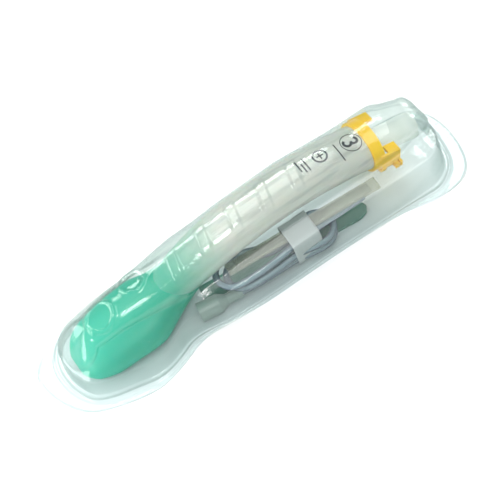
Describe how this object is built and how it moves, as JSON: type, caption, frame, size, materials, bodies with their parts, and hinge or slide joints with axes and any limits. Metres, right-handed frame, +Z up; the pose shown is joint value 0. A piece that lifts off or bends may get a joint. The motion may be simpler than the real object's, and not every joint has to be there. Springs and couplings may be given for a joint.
{
  "type": "packed supraglottic airway",
  "caption": "Clear formed blister pack on a flat lid, holding a curved airway with a soft cuff, a hook ring and a round connector, beside a coiled suction tube, sachet and strap.",
  "frame": {"origin": "middle of the pack's footprint, on the lid's underside", "axes": "+X along the airway to its connector, +Y to the airway's side of the pack, away from the accessories, +Z up from the lid"},
  "size_m": [0.2679, 0.0739, 0.048],
  "materials": {
    "lid_nonwoven": "white spunbonded sheet, matt, heat sealed",
    "clear_film": "thermoformed clear film, glossy",
    "clear_elastomer": "clear moulded elastomer, slightly milky",
    "green_elastomer": "soft translucent mint green elastomer",
    "clear_polymer": "clear moulded polymer, polished",
    "yellow_polymer": "moulded yellow polymer",
    "blue_tubing": "soft blue-grey vinyl tubing",
    "funnel_polymer": "frosted funnel connector",
    "band_paper": "plain white paper",
    "sachet_film": "clear laminated sachet film",
    "gel": "clear water based gel",
    "strap_fabric": "dark green brushed strap"
  },
  "bodies": {
    "lid": {"backing_lid": "lid_nonwoven"},
    "shell": {"blister_shell": "clear_film"},
    "airway": {"airway_stem": "clear_elastomer", "airway_cuff": "green_elastomer", "connector": "clear_polymer", "hook_ring": "yellow_polymer", "oxygen_port": "yellow_polymer"},
    "oxygen_cap": {"oxygen_port_cap": "yellow_polymer"},
    "suction_set": {"suction_hank": "blue_tubing", "suction_tail": "blue_tubing", "suction_funnel": "funnel_polymer", "suction_tip": "blue_tubing", "paper_band": "band_paper", "lubricant_sachet": "sachet_film", "lubricant_gel": "gel"},
    "strap": {"support_strap": "strap_fabric"}
  },
  "joints": [
    {"name": "shell_lift", "type": "slide", "parent": "lid", "child": "shell", "axis": [0, 0, 1], "range_m": [0, 0.12]},
    {"name": "airway_lift", "type": "slide", "parent": "lid", "child": "airway", "axis": [0, 0, 1], "range_m": [0, 0.06]},
    {"name": "suction_set_lift", "type": "slide", "parent": "lid", "child": "suction_set", "axis": [0, 0, 1], "range_m": [0, 0.03]},
    {"name": "strap_lift", "type": "slide", "parent": "lid", "child": "strap", "axis": [0, 0, 1], "range_m": [0, 0.012]},
    {"name": "oxygen_cap_hinge", "type": "hinge", "parent": "airway", "child": "oxygen_cap", "pos_m": [0.09722, -0.0119, 0.01386], "axis": [-0.2419, 0, -0.9703], "range_deg": [0, 115]}
  ],
  "couplings": [
    {"joint": "airway_lift", "follows": "shell_lift", "ratio": 0.5},
    {"joint": "suction_set_lift", "follows": "shell_lift", "ratio": 0.25},
    {"joint": "strap_lift", "follows": "shell_lift", "ratio": 0.1}
  ]
}
